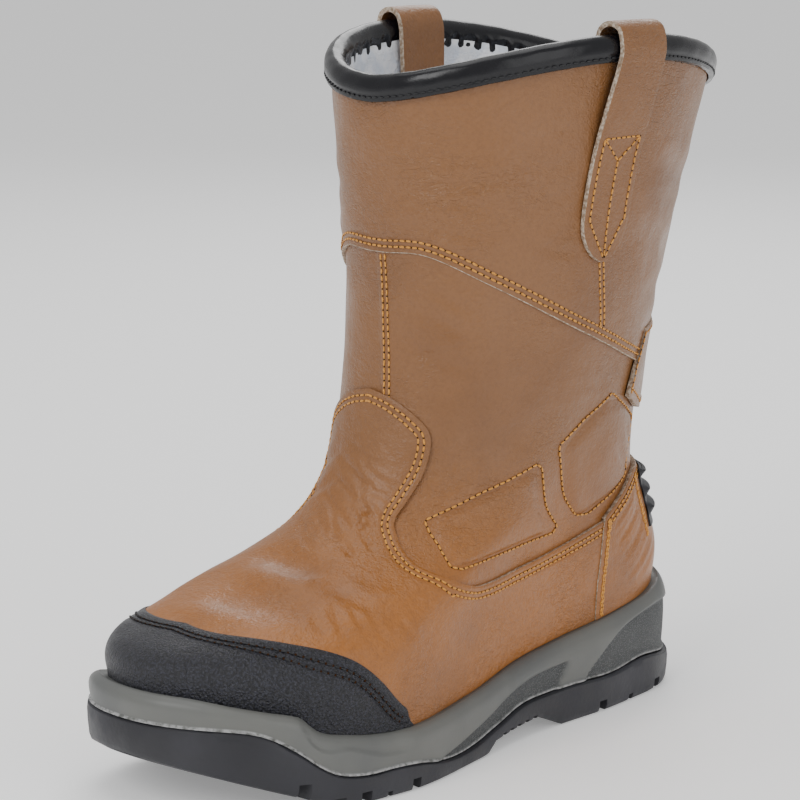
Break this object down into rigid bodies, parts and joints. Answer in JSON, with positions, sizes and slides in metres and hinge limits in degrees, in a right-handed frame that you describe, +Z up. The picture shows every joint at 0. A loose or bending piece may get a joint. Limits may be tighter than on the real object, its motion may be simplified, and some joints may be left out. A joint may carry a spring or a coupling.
{
  "type": "rigger boot",
  "caption": "Pull-on leather work boot with a calf-high leg, black toe cap, two pull loops and a lugged two-layer sole; left foot.",
  "frame": {"origin": "centre of the bounding box at floor level", "axes": "+Z up from the floor, -Y towards the toe, +X towards the outer side of the left foot"},
  "size_m": [0.141, 0.3128, 0.2977],
  "materials": {
    "leather_tan": "satin",
    "leather_black": "grained",
    "binding_black": "gloss",
    "midsole_grey": "matt",
    "rubber_black": "matt",
    "footbed_grey": "matt"
  },
  "bodies": {
    "root": {"outsole": "rubber_black", "midsole": "midsole_grey", "insole": "footbed_grey", "upper": "leather_tan", "vamp": "leather_tan", "toe_cap": "leather_black", "heel_counter": "leather_tan", "back_tab": "leather_tan", "kick_strip": "rubber_black", "ankle_pad_front_outer": "leather_tan", "ankle_pad_front_inner": "leather_tan", "ankle_pad_rear_outer": "leather_tan", "ankle_pad_rear_inner": "leather_tan", "collar_binding": "binding_black", "pull_loop_outer": "leather_tan", "pull_loop_inner": "leather_tan"}
  },
  "joints": []
}
